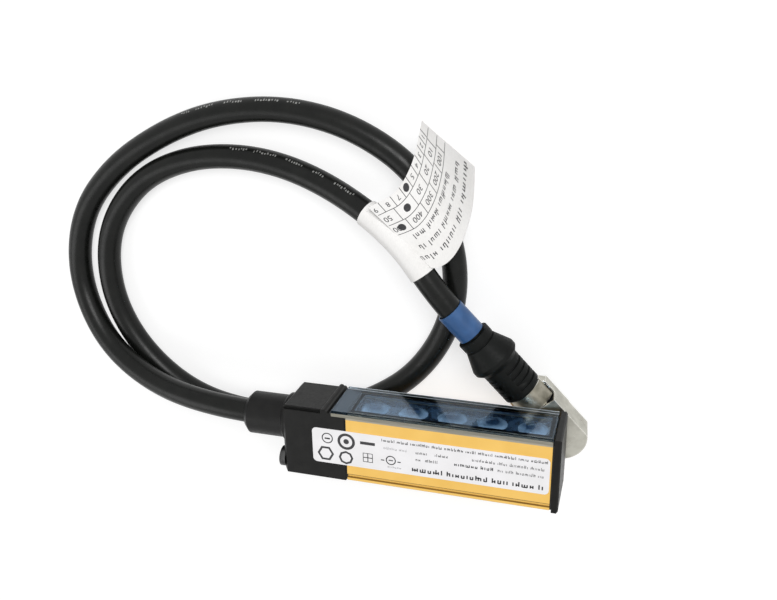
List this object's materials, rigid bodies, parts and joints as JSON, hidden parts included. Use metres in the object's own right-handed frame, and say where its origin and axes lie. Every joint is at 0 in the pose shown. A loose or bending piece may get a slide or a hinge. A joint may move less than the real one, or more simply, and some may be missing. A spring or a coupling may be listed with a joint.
{
  "type": "safety light curtain receiver",
  "caption": "Small bar-shaped light curtain receiver with a lens window, end cap, moulded cable head, looped cable with marker ring and paper flag, and shielded plug.",
  "frame": {"origin": "centre of the flat rear face of the extruded housing", "axes": "+Y out of the rear face, so the window looks along -Y; +X along the housing towards the cable head; +Z out of the labelled side"},
  "size_m": [0.1522, 0.0966, 0.0249],
  "materials": {
    "yellow_coat": "satin",
    "clear_cover": "gloss",
    "clear_lens": "gloss",
    "seal_rubber": "matte",
    "black_mould": "satin",
    "board": "satin",
    "diode_epoxy": "gloss",
    "chip_epoxy": "matte",
    "header_plastic": "matte",
    "screw_steel": "satin",
    "label_film": "satin",
    "cable_jacket": "satin",
    "boot_rubber": "matte",
    "paper": "matte",
    "ring_blue": "satin",
    "grip_rubber": "matte",
    "plug_metal": "satin",
    "core_plastic": "gloss",
    "contact_gold": "gloss"
  },
  "bodies": {
    "root": {"housing_profile": "yellow_coat", "front_window": "clear_cover", "window_seal": "seal_rubber", "lens_strip": "clear_lens", "optics_carrier": "black_mould", "circuit_board": "board", "photodiodes": "diode_epoxy", "board_chips": "chip_epoxy", "wire_header": "header_plastic", "cap_seal": "seal_rubber", "end_cap": "black_mould", "end_cap_screws": "screw_steel", "head_seal": "seal_rubber", "cable_head": "black_mould", "head_screws": "screw_steel", "cable_boot": "boot_rubber", "rating_label": "label_film", "marker_ring": "ring_blue", "plug_grip": "grip_rubber", "crimp_sleeve": "plug_metal", "plug_shell": "plug_metal", "plug_core": "core_plastic", "plug_contacts": "contact_gold", "cable": "cable_jacket", "flag_label": "paper"}
  },
  "joints": []
}
